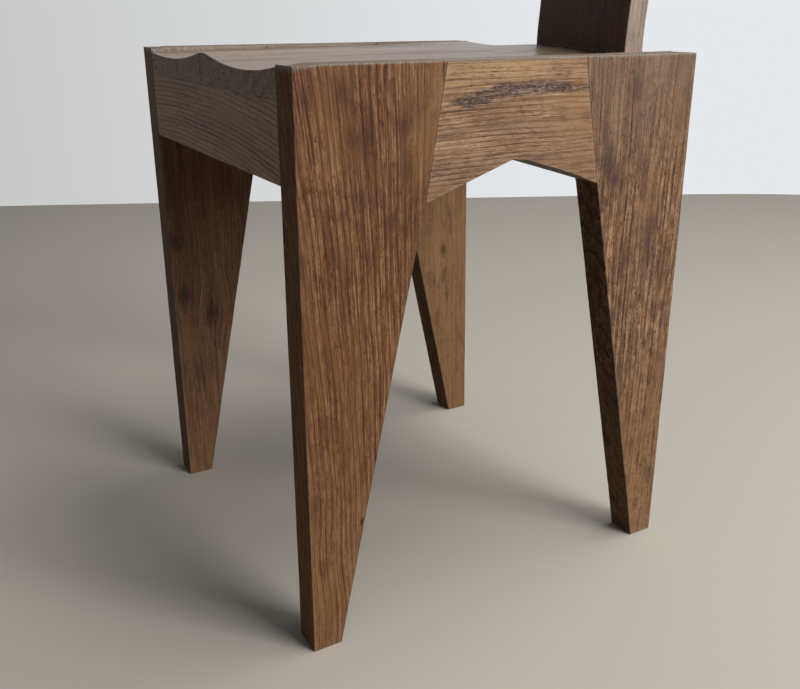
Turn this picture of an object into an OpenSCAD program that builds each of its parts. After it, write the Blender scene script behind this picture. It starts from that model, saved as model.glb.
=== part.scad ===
/* [Side frames] */
// Height of the seat's top above the floor
seat_h = 450; // [380:1:540]
// Width over the two side frames
seat_w = 358; // [290:1:440]
// Depth of the seat, front edge to back edge
seat_d = 354; // [290:1:430]
// Thickness of the boards of the side frames
frame_t = 27; // [22:0.5:34]
// Width of each leg at the seat's top
leg_top_w = 115.5; // [90:0.5:130]
// Width of the front leg where its joint with the side rail ends
front_knee_w = 99; // [80:0.5:110]
// Width of the rear leg where its joint with the side rail ends
rear_knee_w = 95.5; // [80:0.5:110]
// Width of each foot, front to back
foot_w = 25; // [18:0.5:40]
// How far the front foot stands ahead of the seat
front_kick = 1.5; // [0:0.5:10]
// How far the rear foot stands behind the seat
rear_kick = 9.5; // [0:0.5:20]
// Height of the side rail at its ends
rail_end_h = 97; // [80:1:120]
// Rise of the side rail's pointed arch
arch_rise = 25.5; // [10:0.5:40]
// How far the arch's point lies ahead of the seat's middle
arch_ahead = 2; // [-10:0.5:10]

/* [Seat] */
// Thickness of the seat boards
board_t = 23.5; // [20:0.5:32]
// Width of the first seat board, at the sitter's right
board_1_w = 79; // [50:0.5:90]
// Width of the second seat board
board_2_w = 65.5; // [50:0.5:90]
// Width of the last seat board, at the sitter's left
board_4_w = 39.5; // [30:0.5:60]
// Radius of the hollows in the seat
hollow_r = 413; // [350:1:600]
// Radius of the flatter outer half of the right hollow
flat_hollow_r = 800; // [600:10:1200]
// Depth of the hollows at the front edge
hollow_depth = 7.2; // [3:0.1:9]
// How far each hollow's middle lies from the seat's middle
hollow_x = 88.5; // [70:0.5:110]
// How much shallower the hollows are at the back edge
hollow_loss = 4; // [0:0.5:6]

/* [Rails] */
// Height of the front and rear rails
rail_h = 56.5; // [45:0.5:80]
// Thickness of the front and rear rails
rail_t = 24; // [20:0.5:32]

/* [Back] */
// Height of the back board's top above the floor
back_top_h = 780; // [650:1:900]
// Width of the back board
back_w = 122; // [100:1:160]
// Thickness of the back board
back_t = 20.5; // [17:0.5:28]
// How far the back board's middle lies from the seat's middle
back_x = 57; // [0:1:60]
// Lean of the back board, in degrees
back_lean = 4.5; // [0:0.5:10]
// Height over the seat at which the back board starts to lean
lean_start = 4; // [0:1:20]
// Height over the seat at which the back board has its full lean
lean_end = 22; // [21:1:60]
// Width of the back board's tenon
tenon_w = 80; // [50:1:90]
// Thickness of the back board's tenon
tenon_t = 10; // [8:0.5:14]
// Depth of the tenon in the rear rail
tenon_depth = 36; // [20:1:40]

/* [Dowels] */
// Diameter of the dowels in the frame joints
dowel_d = 10; // [8:0.5:12]
// Length of the dowels in the frame joints
dowel_l = 50; // [40:1:60]
// How far a rail's dowel goes into its leg
leg_bite = 18; // [12:0.5:20]
// Distance from a side rail's end edges to its dowels
side_dowel_in = 26; // [20:1:30]
// Height of the lower rail dowel over the rail's bottom edge
low_dowel_z = 12; // [10:0.5:16]
// Distance between the two dowels at a rail's end
dowel_pitch = 21; // [18:0.5:24]
// Diameter of the seat's dowels
seat_dowel_d = 8; // [6:0.5:10]
// How far a seat dowel goes up into its board
seat_dowel_up = 10; // [6:0.5:12]
// How far a seat dowel goes down into its rail
seat_dowel_down = 13; // [8:0.5:16]
// Gap around a dowel or tenon in its hole
joint_clear = 0.1; // [0.05:0.05:0.3]
// Empty space left at the end of a hole
end_space = 1; // [0.5:0.5:2]

/* [Hidden] */

WALNUT = [0.44, 0.32, 0.22];
TAN = [0.55, 0.42, 0.29];
DARK_WALNUT = [0.30, 0.22, 0.16];
GREY_WALNUT = [0.50, 0.43, 0.36];
BEECH = [0.80, 0.66, 0.47];

// The sitter's left side is +X and the seat faces -Y.
LEFT = 1;
RIGHT = -1;
// A cut runs this far past the face that it opens.
OVER = 2;

// The back board's own shift to the rear, from its foot to its top.
lean_slope = tan(back_lean);
bend_h = lean_end - lean_start;
full_lean = lean_slope * (back_top_h - seat_h - lean_start - bend_h / 2);

// The origin lies below the middle of the whole chair's box.
front_y = front_kick - (front_kick + seat_d + max(full_lean, rear_kick)) / 2;
rear_y = front_y + seat_d;
mid_y = (front_y + rear_y) / 2;

half_w = seat_w / 2;
inner_x = half_w - frame_t;
knee_h = seat_h - rail_end_h;
board_z = seat_h - board_t;
rail_z = board_z - rail_h;
hollow_tilt = atan(hollow_loss / seat_d);

// The long edges of the seat boards, from the sitter's right to the left.
board_3_w = 2 * inner_x - board_1_w - board_2_w - board_4_w;
board_edges = [
    -inner_x,
    -inner_x + board_1_w,
    -inner_x + board_1_w + board_2_w,
    inner_x - board_4_w,
    inner_x
];
function board_mid(i) = (board_edges[i - 1] + board_edges[i]) / 2;

// Outline points of the side frames are [y, z].
front_joint_top = front_y + leg_top_w;
front_joint_low = front_y + front_knee_w;
rear_joint_top = rear_y - leg_top_w;
rear_joint_low = rear_y - rear_knee_w;
function joint_part(z) = (seat_h - z) / rail_end_h;
function front_joint_y(z) = front_joint_top + (front_joint_low - front_joint_top) * joint_part(z);
function rear_joint_y(z) = rear_joint_top + (rear_joint_low - rear_joint_top) * joint_part(z);

front_leg_outline = [
    [front_y, seat_h],
    [front_y - front_kick, 0],
    [front_y - front_kick + foot_w, 0],
    [front_joint_low, knee_h],
    [front_joint_top, seat_h]
];
rear_leg_outline = [
    [rear_joint_top, seat_h],
    [rear_joint_low, knee_h],
    [rear_y + rear_kick - foot_w, 0],
    [rear_y + rear_kick, 0],
    [rear_y, seat_h]
];
side_rail_outline = [
    [front_joint_top, seat_h],
    [front_joint_low, knee_h],
    [mid_y - arch_ahead, knee_h + arch_rise],
    [rear_joint_low, knee_h],
    [rear_joint_top, seat_h]
];

// Shift of the back board at a height over the seat: none, then a bend, then straight.
function lean_at(h) =
    h < lean_start ? 0
    : h < lean_end ? lean_slope * pow(h - lean_start, 2) / (2 * bend_h)
    : lean_slope * (h - lean_start - bend_h / 2);
bend_steps = 12;
back_heights = concat(
    [-board_t],
    [for (i = [0 : bend_steps]) lean_start + bend_h * i / bend_steps],
    [back_top_h - seat_h]
);
back_outline = concat(
    [for (h = back_heights) [rear_y - back_t + lean_at(h), seat_h + h]],
    [for (i = [len(back_heights) - 1 : -1 : 0])
        [rear_y + lean_at(back_heights[i]), seat_h + back_heights[i]]]
);
tenon_y = rear_y - rail_t / 2;
tenon_bottom = board_z - tenon_depth;

side_dowel_zs = [seat_h - side_dowel_in, knee_h + side_dowel_in + arch_rise / 4];
rail_dowel_zs = [rail_z + low_dowel_z, rail_z + low_dowel_z + dowel_pitch];
rail_dowel_ys = [front_y + rail_t / 2, rear_y - rail_t / 2];

// A board of the side frame: a [y, z] outline with its thickness along X.
module frame_board(side, outline) {
    translate([side == LEFT ? inner_x : -half_w, 0, 0])
        rotate([90, 0, 90])
            linear_extrude(frame_t) polygon(outline);
}

// One dowel or its hole, lying along Y, from the middle outwards.
module along_y(d, l) {
    rotate([90, 0, 0]) cylinder(d = d, h = l, center = true, $fn = 48);
}

// The dowels between the legs and the side rails.
module side_joint_pins(side, grow, longer) {
    for (z = side_dowel_zs)
        for (y = [front_joint_y(z), rear_joint_y(z)])
            translate([side * (half_w - frame_t / 2), y, z])
                along_y(dowel_d + 2 * grow, dowel_l + 2 * longer);
}

// The dowels between the front and rear rails and the legs.
module rail_joint_pins(side, grow, longer) {
    for (z = rail_dowel_zs)
        for (y = rail_dowel_ys)
            translate([side * (inner_x + leg_bite - dowel_l / 2), y, z])
                rotate([0, 90, 0])
                    cylinder(d = dowel_d + 2 * grow, h = dowel_l + 2 * longer, center = true, $fn = 48);
}

// The dowels that stand in the rails and hold the seat boards.
// The back board's tenon takes the place of the one that it would meet.
module seat_pins(grow, longer) {
    for (i = [1 : 4])
        for (y = rail_dowel_ys)
            if (y < mid_y || abs(board_mid(i) - back_x) > tenon_w / 2 + seat_dowel_d)
                translate([board_mid(i), y, board_z - seat_dowel_down - longer])
                    cylinder(
                        d = seat_dowel_d + 2 * grow,
                        h = seat_dowel_up + seat_dowel_down + 2 * longer,
                        $fn = 48
                    );
}

// The tenon below the back board, or its mortise.
module tenon(grow, deeper) {
    translate([
        back_x - tenon_w / 2 - grow,
        tenon_y - tenon_t / 2 - grow,
        tenon_bottom - deeper
    ])
        cube([tenon_w + 2 * grow, tenon_t + 2 * grow, seat_h - tenon_bottom + deeper]);
}

// The outline of the two hollows, seen from the front, with the seat's top at 0.
module hollow_outline() {
    for (side = [LEFT, RIGHT])
        translate([side * hollow_x, hollow_r - hollow_depth])
            circle(r = hollow_r, $fn = 720);
    intersection() {
        translate([-hollow_x, flat_hollow_r - hollow_depth])
            circle(r = flat_hollow_r, $fn = 1440);
        translate([-hollow_x - half_w, -hollow_depth - OVER])
            square([half_w, 4 * hollow_depth]);
    }
}

// What the carving takes out of the seat: it rises a little towards the back.
module hollows() {
    translate([0, front_y, seat_h])
        rotate([hollow_tilt + 90, 0, 0])
            translate([0, 0, -seat_d - 5 * OVER])
                linear_extrude(seat_d + 10 * OVER) hollow_outline();
}

module carved_seat(x_from, x_to) {
    difference() {
        translate([x_from, front_y, board_z])
            cube([x_to - x_from, seat_d, board_t]);
        hollows();
    }
}

module front_leg(side) {
    color(WALNUT) difference() {
        frame_board(side, front_leg_outline);
        side_joint_pins(side, joint_clear, end_space);
        rail_joint_pins(side, joint_clear, end_space);
    }
}

module rear_leg(side) {
    color(WALNUT) difference() {
        frame_board(side, rear_leg_outline);
        side_joint_pins(side, joint_clear, end_space);
        rail_joint_pins(side, joint_clear, end_space);
    }
}

module side_rail(side) {
    color(TAN) difference() {
        frame_board(side, side_rail_outline);
        side_joint_pins(side, joint_clear, end_space);
    }
}

module cross_rail(y_from) {
    difference() {
        translate([-inner_x, y_from, rail_z])
            cube([2 * inner_x, rail_t, rail_h]);
        for (side = [LEFT, RIGHT]) rail_joint_pins(side, joint_clear, end_space);
        seat_pins(joint_clear, end_space);
        tenon(joint_clear, end_space);
    }
}

module front_rail() {
    color(DARK_WALNUT) cross_rail(front_y);
}

module rear_rail() {
    color(DARK_WALNUT) cross_rail(rear_y - rail_t);
}

module seat_board(i) {
    color(GREY_WALNUT) difference() {
        carved_seat(board_edges[i - 1], board_edges[i]);
        seat_pins(joint_clear, end_space);
        tenon(joint_clear, end_space);
    }
}

// The back board's foot is cut to the seat's hollow and stands on it.
module back_board() {
    color(DARK_WALNUT) {
        difference() {
            translate([back_x - back_w / 2, 0, 0])
                rotate([90, 0, 90])
                    linear_extrude(back_w) polygon(back_outline);
            carved_seat(-inner_x, inner_x);
        }
        tenon(0, 0);
    }
}

module frame_dowels() {
    color(BEECH) for (side = [LEFT, RIGHT]) {
        side_joint_pins(side, 0, 0);
        rail_joint_pins(side, 0, 0);
    }
}

module seat_dowels() {
    color(BEECH) seat_pins(0, 0);
}

front_leg(LEFT);  // front_leg_left
front_leg(RIGHT);  // front_leg_right
rear_leg(LEFT);  // rear_leg_left
rear_leg(RIGHT);  // rear_leg_right
side_rail(LEFT);  // side_rail_left
side_rail(RIGHT);  // side_rail_right
front_rail();
rear_rail();
seat_board(1);  // seat_board_1
seat_board(2);  // seat_board_2
seat_board(3);  // seat_board_3
seat_board(4);  // seat_board_4
back_board();
frame_dowels();
seat_dowels();
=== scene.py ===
# %% [markdown]
# # A worn wooden chair, board by board
# The chair is two flat side frames of tapered boards with a seat of glued boards between them
# and a narrow back board that stands off the middle. The CAD model gives every board's size and
# place. Here each board gets what years of use gave it: rubbed arrises, an uneven face, open
# grain and stains. The first step loads the CAD model as a fixed frame to build in.

# %% Load the frame
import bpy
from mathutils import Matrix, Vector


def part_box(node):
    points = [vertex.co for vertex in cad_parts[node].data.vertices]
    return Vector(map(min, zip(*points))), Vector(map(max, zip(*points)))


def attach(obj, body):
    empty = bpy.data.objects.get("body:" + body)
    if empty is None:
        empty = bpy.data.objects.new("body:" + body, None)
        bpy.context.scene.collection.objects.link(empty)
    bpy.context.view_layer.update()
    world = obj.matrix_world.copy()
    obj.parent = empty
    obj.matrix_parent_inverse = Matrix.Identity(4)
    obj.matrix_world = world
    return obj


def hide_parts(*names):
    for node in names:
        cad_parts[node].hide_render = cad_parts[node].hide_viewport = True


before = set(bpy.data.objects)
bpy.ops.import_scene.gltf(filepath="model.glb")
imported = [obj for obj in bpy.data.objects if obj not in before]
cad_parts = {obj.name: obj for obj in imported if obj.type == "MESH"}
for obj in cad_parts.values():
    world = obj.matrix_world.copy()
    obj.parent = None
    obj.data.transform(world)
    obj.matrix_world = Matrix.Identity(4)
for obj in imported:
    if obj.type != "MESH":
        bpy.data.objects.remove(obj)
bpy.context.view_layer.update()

import math
from types import SimpleNamespace

import bpy
import numpy as np

MM = 0.001


# %% [markdown]
# ## Where the boards are
# The boards' places come from the CAD nodes' boxes, so they can't drift from the construction.
# What a box can't tell is named again: here the width of a foot and the side rail's pointed
# arch, and further down the carving of the seat and the lean of the back. Marks of wear have
# places of their own, in millimetres from the chair's middle and the floor.

# %% Places of the boards, in millimetres


def span(node):
    """The lowest and highest corner of a CAD node, in millimetres."""
    low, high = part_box(node)
    return np.array(low) / MM, np.array(high) / MM


leg_low, leg_high = span("front_leg_left")
rail_low, rail_high = span("side_rail_left")
inner_x, front_toe = leg_low[:2]
half_w, front_joint_top, seat_h = leg_high
board_t = half_w - inner_x
front_y = span("front_rail")[0][1]
rear_y = span("rear_rail")[1][1]
rear_toe = span("rear_leg_left")[1][1]
rear_joint_top = span("rear_leg_left")[0][1]
front_joint_low = rail_low[1]
rear_joint_low = rail_high[1]
knee_h = rail_low[2]
seat_under = span("seat_board_2")[0][2]

foot_w = 25.0
arch_rise = 25.5
# How far the arch's point lies ahead of the seat's middle.
arch_ahead = 2.0
arch_y = (front_y + rear_y) / 2 - arch_ahead
sizes = (seat_h, 2 * half_w, rear_y - front_y)
print("the seat's height, width and depth:", [round(float(v), 1) for v in sizes])

# %% [markdown]
# ## Seeded unevenness
# Wear is never even. A shader's noise can't move a mesh, so this noise is worked out in numpy: a
# lattice of random numbers, blended smoothly between its corners. It can be asked anywhere and
# always gives the same answer for the same seed.

# %% Smooth random field

LATTICE = 32
LATTICE_SHIFT = 0.37


def unevenness(points, cell, seed):
    """Smooth random field in -1..1: random numbers on a lattice of cells, blended by 3t^2 - 2t^3
    along each axis. The lattice is shifted, so that none of its planes lies on the chair's middle."""
    table = np.random.default_rng(seed).uniform(-1, 1, (LATTICE, LATTICE, LATTICE))
    scaled = points / np.asarray(cell, float) + LATTICE_SHIFT
    base = np.floor(scaled).astype(int)
    t = scaled - base
    t = t * t * (3 - 2 * t)
    total = np.zeros(len(points))
    for corner in np.ndindex(2, 2, 2):
        share = np.where(corner, t, 1 - t).prod(axis=1)
        total += table[tuple((base + corner).T % LATTICE)] * share
    return total


def ramp(value, low, high):
    """0 below low, 1 above high, and a smooth step between them."""
    t = np.clip((value - low) / (high - low), 0, 1)
    return t * t * (3 - 2 * t)


probe = unevenness(np.random.default_rng(1).uniform(0, 400, (2000, 3)), 40, 5)
print("unevenness spans", round(probe.min(), 2), "to", round(probe.max(), 2))

# %% [markdown]
# ## A grid over a board
# A new board is a box with sharp arrises. A used one has arrises rubbed round, more in some
# places than in others, and faces that dip a little. A Bevel modifier would round an arris evenly
# from end to end, so the surface is worked out instead, on a grid that lies over all six faces.
# Its lines are close together along the arrises, where the shape bends.

# %% The grid over a board

EDGE_STEPS = np.array([0.0, 0.25, 0.55, 0.9, 1.4, 2.1, 3.2])


def stations(marks, counts):
    """Grid lines along one side as (offset, share): a line lies at offset + share * length.
    marks are the shares that need a line of their own and counts the steps between them."""
    edge = EDGE_STEPS[-1]
    shares = [np.linspace(a, b, n, endpoint=False) for a, b, n in zip(marks, marks[1:], counts)]
    shares = np.append(np.concatenate(shares), 1.0)
    offset = np.concatenate([EDGE_STEPS[:-1], edge * (1 - 2 * shares), -EDGE_STEPS[-2::-1]])
    share = np.concatenate([np.zeros(len(EDGE_STEPS) - 1), shares, np.ones(len(EDGE_STEPS) - 1)])
    return offset, share


def even(count):
    """Grid lines in that many equal steps."""
    return stations((0, 1), (count,))


def shell(n_s, n_t, n_u):
    """The outer points of an n_s * n_t * n_u lattice and the quads that join them."""
    ids = -np.ones((n_s, n_t, n_u), int)
    outer = np.ones((n_s, n_t, n_u), bool)
    outer[1:-1, 1:-1, 1:-1] = False
    places = np.argwhere(outer)
    ids[outer] = np.arange(len(places))
    quads = []
    for side, forward in (
        (ids[0], False), (ids[-1], True),
        (ids[:, 0], True), (ids[:, -1], False),
        (ids[:, :, 0], False), (ids[:, :, -1], True),
    ):
        ring = [side[:-1, :-1], side[1:, :-1], side[1:, 1:], side[:-1, 1:]]
        quads.append(np.stack(ring if forward else ring[::-1], -1).reshape(-1, 4))
    return places, np.concatenate(quads)


print("grid lines beside an arris, in millimetres:", EDGE_STEPS.tolist())

# %% [markdown]
# ## Laying the grid out
# The board is first a straight box that has the board's own side lengths at each place. How far
# each arris is rubbed is a number per side, or a function where it changes along the side. In a
# glued joint an arris was never rubbed, so it stays tight.

# %% The board as a box, and the radius of its arrises

SIDES = ("s0", "s1", "t0", "t1", "u0", "u1")
TIGHT = 0.10
WIDEST = 3.0


def board_box(lines, lengths):
    """The shares s, t, u of each grid point, its place in the box, the box's side lengths there,
    and the quads. lines are the stations along s, t and u."""
    places, quads = shell(*[len(line[0]) for line in lines])
    offsets = np.stack([lines[k][0][places[:, k]] for k in range(3)], 1)
    shares = np.stack([lines[k][1][places[:, k]] for k in range(3)], 1)
    middle = np.array(lengths(*[np.full(1, 0.5)] * 3), float).reshape(1, 3)
    rough_shares = np.clip(shares + offsets / middle, 0, 1)
    size = np.stack(np.broadcast_arrays(*lengths(*rough_shares.T)), 1).astype(float)
    return rough_shares, offsets + shares * size, size, quads


def arris_radius(radii, shares, gap, rub):
    """The radius at each point: the least that any side allows, where a side allows its own
    radius, or its distance from the point if that is more. Open arrises vary with rub."""
    limits = [np.full(len(rub), WIDEST)]
    for k, side in enumerate(SIDES):
        own = radii[side](*shares.T) if callable(radii[side]) else radii[side]
        own = np.broadcast_to(np.asarray(own, float), rub.shape)
        own = np.where(own > 2 * TIGHT, own * np.clip(rub, 0.3, 2.0), own)
        limits.append(np.maximum(own, gap[:, k]))
    return np.minimum.reduce(limits)


print("arrises are rubbed to between", TIGHT, "and", WIDEST, "mm")

# %% [markdown]
# ## The worn board itself
# Each point of the box is pulled in to the nearest point of a slightly smaller box and pushed
# out again by the radius at that place, which rounds the arris. The face then dips a little, and
# the box is laid onto the board's true outline. What the finish has to know, such as how rubbed
# a place is, is worked out on the same points and kept with them.

# %% The worn board

RUBBING = 0.4


def outward(points, quads):
    """The quads, turned round if the volume that they enclose comes out negative."""
    a, b, c, d = (points[quads[:, k]] for k in range(4))
    volume = np.einsum("ij,ij->i", a, np.cross(b, c)).sum()
    volume += np.einsum("ij,ij->i", a, np.cross(c, d)).sum()
    return quads if volume > 0 else quads[:, ::-1]


def worn_board(name, lines, lengths, place, radii, seed, dents=None):
    """A closed board on a grid of lines. lengths(s, t, u) gives the three side lengths at shares s, t, u, and
    place(s, t, u) the point in millimetres. radii gives the arris radius of each side by name.
    dents(points, normals) gives the depth of its dents and the wear values that go with them."""
    shares, flat, size, quads = board_box(lines, lengths)
    gap = np.stack([flat, size - flat], 2).reshape(-1, 6)
    world = place(*(flat / size).T)
    rub = 1 + RUBBING * unevenness(world, 34, seed) + 0.5 * RUBBING * unevenness(world, 9, seed + 1)
    radius = arris_radius(radii, shares, gap, rub)

    core = np.clip(flat, radius[:, None], size - radius[:, None])
    out = flat - core
    normal = out / np.maximum(np.linalg.norm(out, axis=1, keepdims=True), 1e-9)

    near = np.sort(gap, axis=1)[:, 1]
    wear = ramp(radius, 0.3, 0.8) * np.exp(-((near / 1.8) ** 2)) * np.clip(rub, 0, 1)
    wear = wear * (1 + 0.9 * ramp(world[:, 2], seat_h - 7, seat_h - 2))
    seam = (1 - ramp(radius, 0.3, 0.6)) * np.exp(-((near / 0.5) ** 2))
    fields = {"wear": wear, "seam": seam, "ends": ramp(np.abs(normal[:, 0]), 0.5, 0.9)}

    dip = 0.10 * (1 + unevenness(world, 42, seed + 2)) + 0.03 * (1 + unevenness(world, 12, seed + 3))
    if dents is not None:
        depth, marks = dents(world, normal)
        dip = dip + depth
        fields.update(marks)
    worn = core + normal * radius[:, None] - normal * dip[:, None]
    points = place(*(worn / size).T)
    quads = outward(points, quads)
    arris = radius[near < 0.01]
    print(f"{name}: {len(points)} points, {2 * len(quads)} triangles, "
          f"arris {arris.min():.2f} to {arris.max():.2f} mm")
    return points, quads, fields


print("rubbing changes an arris by up to", round(150 * RUBBING), "percent")

# %% [markdown]
# ## The log that each board was sawn from
# Grain is the cut through a tree's growth rings. A flat wood texture wouldn't turn the corner to
# the end grain, so each board is given a place in an imagined log: how far its face lies from
# the heart, how much it leans against the log's axis, and how the rings swell. A face far from
# the heart and parallel to the axis shows straight lines, and a leaning one arched lines.

# %% Place in the log


def in_log(points, along, across, centre, heart, lean=0.0, bow=0.0, fan=0.0, thin=0.0,
           sweep=0.0, seed=0, spots=()):
    """Each point's place in the log, in millimetres, with the log's axis as Z.
    along and across are the board's grain and width directions, heart is the place of the
    board's centre in the log, lean the slope of its grain, bow its curve and fan how the slope
    changes across the board. thin crowds the rings towards the lower end of across, and sweep
    turns the grain at the upper end of along. Grain parts round each knot in spots, given as
    (x, y, z, radius)."""
    along, across = np.array(along, float), np.array(across, float)
    through = np.cross(across, along)
    local = points - np.array(centre, float)
    z = local @ along
    y = local @ across
    x = local @ through
    for *knot, r in spots:
        knot = np.array(knot) - np.array(centre, float)
        beside, past = y - knot @ across, z - knot @ along
        y = y - 0.8 * beside * np.exp(-((beside / (2.6 * r)) ** 2) - (past / (4.5 * r)) ** 2)
    y = y + lean * z + bow * (z / 100) ** 2 + fan * y * z / 100
    y = y + sweep * ramp(y, 60, -50) * (np.maximum(z + 100, 0) / 100) ** 2
    y = y - thin * (y / 10) ** 2 / 10 + 1.2 * unevenness(points, (50, 50, 50), seed + 7)
    return np.stack([x + heart[0], y + heart[1], z + heart[2]], 1)


probe = in_log(np.zeros((1, 3)), (0, 0, 1), (0, 1, 0), (0, 0, 0), (14, 78, 40))
print("a board's centre lies in the log at", probe.round(1).tolist())

# %% [markdown]
# ## From arrays to a Blender piece
# Blender reads a mesh from lists of points and faces. The wear values and the place in the log go
# with it as attributes, which are numbers kept on the points for the material to read. A UV map
# would need seams, and an attribute needs none.

# %% From arrays to a Blender piece


def make_piece(name, points, quads, fields, tree, material, node):
    """A smooth-shaded mesh piece at the origin, with the fields stored on its points."""
    mesh = bpy.data.meshes.new(name)
    mesh.from_pydata(points * MM, [], quads)
    for field, values in fields.items():
        store = mesh.attributes.new(field, "FLOAT", "POINT")
        store.data.foreach_set("value", np.asarray(values, np.float32))
    store = mesh.attributes.new("tree", "FLOAT_VECTOR", "POINT")
    store.data.foreach_set("vector", np.asarray(tree, np.float32).ravel())
    mesh.shade_smooth()
    mesh.materials.append(material)
    mesh.update()
    piece = bpy.data.objects.new(name, mesh)
    bpy.context.scene.collection.objects.link(piece)
    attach(piece, "root")
    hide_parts(node)
    print(name, "replaces", node, "and carries", ", ".join(fields))


# %% [markdown]
# ## Colours and nodes
# A hex colour is written in sRGB, as a screen shows it, and a shader wants it linear. All nodes
# are added by one function, so that a material reads as a list of nodes and what feeds them.

# %% Colours and nodes


def linear(hex_colour):
    """An sRGB hex colour as linear RGBA."""
    parts = [int(hex_colour[k : k + 2], 16) / 255 for k in (1, 3, 5)]
    parts = [p / 12.92 if p <= 0.04045 else ((p + 0.055) / 1.055) ** 2.4 for p in parts]
    return (*parts, 1.0)


def add(material, kind, *values, links=None, out=0, **settings):
    """Adds a shader node of that kind and returns its output, by number or name. values go to
    its first inputs in order and links to inputs by number or name. Each is a plain value or
    another node's output. settings are the node's properties."""
    node = material.node_tree.nodes.new("ShaderNode" + kind)
    for key, value in settings.items():
        setattr(node, key, value)
    for key, value in [*enumerate(values), *(links or {}).items()]:
        if isinstance(value, bpy.types.NodeSocket):
            material.node_tree.links.new(value, node.inputs[key])
        else:
            node.inputs[key].default_value = value
    return node.outputs[out]


def new_material(name):
    """A new material of that name, and its main shader."""
    material = bpy.data.materials.new(name)
    material.use_nodes = True
    return material, material.node_tree.nodes["Principled BSDF"]


print("the sRGB grey #808080 is", round(linear("#808080")[0], 3), "in linear light")

# %% [markdown]
# ## The pattern of the wood
# The boards look like elm, a ring-porous wood: each growth ring, 4 to 6 mm wide, starts with a
# line of open pores, which takes up dark dirt. Between the lines run fibres, as long thin
# streaks. An image of wood would repeat, so the pattern is noise that is read at each point's
# place in the log. Its cells are measured in millimetres: twice across the grain and once along
# it. A real pore is 0.2 mm wide and a real fibre 0.02 mm, too fine to show, so they are drawn
# 0.5 to 1.2 mm wide, as coarse as they need to be.

# %% Streaks and rings

SMOOTH = {"interpolation_type": "SMOOTHSTEP"}
# The sizes of the streaks in millimetres, with their noise detail and roughness.
FINE_FIBRES = ((0.55, 0.55, 12), 2.0, 0.6)
FIBRES = ((1.15, 1.15, 60), 3.0, 0.62)
BROAD_FIBRES = ((5.5, 5.5, 150),)
FIGURE = ((6, 6, 13), 3.0, 0.6)
SPECKS = ((0.5, 0.5, 1.6), 2.0, 0.7)
PORES = ((0.75, 0.75, 4.2), 2.0, 0.6)
PORE_GROUPS = ((7, 7, 120), 1.0)
PORE_DASHES = ((0.7, 0.7, 14), 2.0, 0.6)


def streaks(material, place, size, detail=2.0, roughness=0.5):
    """A pattern of soft streaks whose cells measure size (x, y, z) in millimetres, 0 to 1."""
    scaled = add(material, "Mapping", place, links={"Scale": [1 / s for s in size]})
    details = {"Scale": 1.0, "Detail": detail, "Roughness": roughness}
    return add(material, "TexNoise", scaled, links=details)


def ring_lines(material, place, look):
    """The lines of open pores, 0 to 1: where the distance from the heart, pushed about by noise,
    has just passed a whole number of rings. Noise then breaks the lines up into dashes."""
    flat_place = add(material, "VectorMath", place, (1, 1, 0), operation="MULTIPLY")
    radius = add(material, "VectorMath", flat_place, operation="LENGTH", out="Value")
    for size, push in (((60, 60, 500), 16.0), ((13, 13, 110), 5.0)):
        wander = streaks(material, place, size)
        radius = add(material, "Math", wander, push * look.swirl, radius, operation="MULTIPLY_ADD")
    turns = add(material, "Math", radius, 1 / look.ring, operation="MULTIPLY")
    phase = add(material, "Math", turns, operation="FRACT")
    early = add(material, "MapRange", phase, 0.34, 0.03, **SMOOTH)
    late = add(material, "MapRange", phase, 0.92, 1.0, **SMOOTH)
    line = add(material, "Math", early, late, operation="MAXIMUM")
    for size, low, high, floor in ((PORE_GROUPS, 0.36, 0.62, 0.9), (PORE_DASHES, 0.34, 0.56, 0.65)):
        breaks = streaks(material, place, *size)
        least = 1 - floor * look.broken
        kept = add(material, "MapRange", breaks, low, high, least, 1.0, **SMOOTH)
        line = add(material, "Math", line, kept, operation="MULTIPLY")
    return line


print("a fibre is drawn", FIBRES[0][0], "mm wide and a pore", PORES[0][0], "mm wide")

# %% [markdown]
# ## From grain to colour
# One number, the tone, says how dark the wood is at a place, from 0 for the darkest line to 1
# for the palest fibre. The patterns are added up to it, and a colour ramp turns it into four
# colours of wood. All finishes start from one list of usual values for oiled elm, and each names
# only what is its own, because the boards came from the same kind of tree.

# %% Tone of the grain

# ring is a growth ring's width in millimetres, swirl how far the rings wander and broken how much
# their lines break up. lines, fibres, mottle and specks are the strengths of the patterns, and
# blotches and worn those of pooled stain and rubbed arrises. end_pores are the range of the
# noise that darkens end grain and the darkness it gives, and pore_size is its cell. face_rough
# is the roughness of a face, streaky how much it varies, end_rough what end grain adds, and
# sheen the strength of the shine.
ELM = dict(
    ring=5.5, swirl=1.0, broken=1.0, lines=0.5, fibres=0.5, mottle=0.0, specks=0.3,
    warm_tone="#7E5B3A", pale_tone="#98734F", blotches=0.4, blotch_tone="#46312A",
    worn=0.32, worn_tone="#A59684",
    end_tone="#35261F", end_pores=(0.36, 0.64, 0.34, 0.60), pore_size=(1.9, 1.9, 10),
    face_rough=0.62, streaky=0.24, end_rough=0.35, sheen=0.2,
)
MIDDLE_TONE = 0.63


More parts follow.
